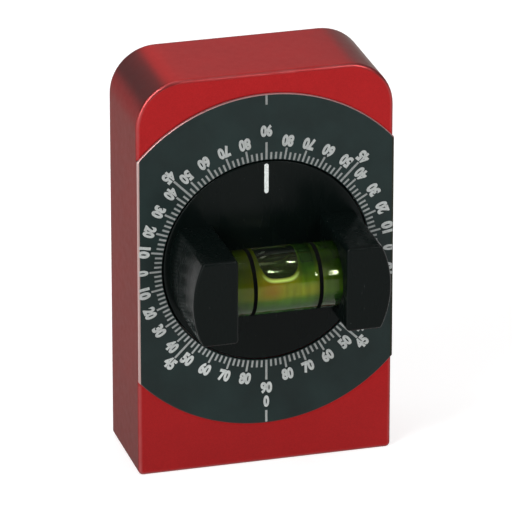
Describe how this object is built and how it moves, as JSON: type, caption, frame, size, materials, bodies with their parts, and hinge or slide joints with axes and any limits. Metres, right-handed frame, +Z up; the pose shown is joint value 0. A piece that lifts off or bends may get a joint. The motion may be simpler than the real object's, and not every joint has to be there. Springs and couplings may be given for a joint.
{
  "type": "flange level",
  "caption": "Pocket level for pipe flanges: an anodised aluminium block with a magnetic base and a graduated dial, and a turret with a spirit vial that turns to any angle.",
  "frame": {"origin": "centre of the block's base, half way through the block's depth", "axes": "+Z up from the base, the dial faces -Y, +X to the right as the dial is read"},
  "size_m": [0.0478, 0.0378, 0.0762],
  "materials": {
    "red_block": "satin red anodised aluminium",
    "dial": "dark green-black dial plate with white print and a bright edge",
    "turret_plastic": "glossy black",
    "white_line": "white filled line",
    "black_line": "black filled line",
    "vial_clear": "clear acrylic",
    "vial_fluid": "yellow-green liquid",
    "vial_plug": "black",
    "rubber": "matt black",
    "nylon": "natural nylon",
    "steel": "zinc-plated steel",
    "magnet": "nickel-plated magnet"
  },
  "bodies": {
    "block": {"body_block": "red_block", "dial_plate": "dial", "pivot_bush": "nylon", "wave_washer": "steel", "magnet_cup_left": "steel", "magnet_cup_right": "steel", "magnet_left": "magnet", "magnet_right": "magnet"},
    "turret": {"turret_disc": "turret_plastic", "pointer_line": "white_line", "end_block_left": "turret_plastic", "end_block_right": "turret_plastic", "block_screw_left_upper": "steel", "block_screw_left_lower": "steel", "block_screw_right_upper": "steel", "block_screw_right_lower": "steel", "vial_barrel": "vial_clear", "vial_plug": "vial_plug", "vial_fluid": "vial_fluid", "vial_ring_left": "black_line", "vial_ring_right": "black_line", "friction_ring": "rubber", "flat_washer": "steel", "pivot_screw": "steel"}
  },
  "joints": [
    {"name": "turret_turn", "type": "hinge", "parent": "block", "child": "turret", "pos_m": [0, 0, 0.0401], "axis": [0, -1, 0], "continuous": true}
  ]
}
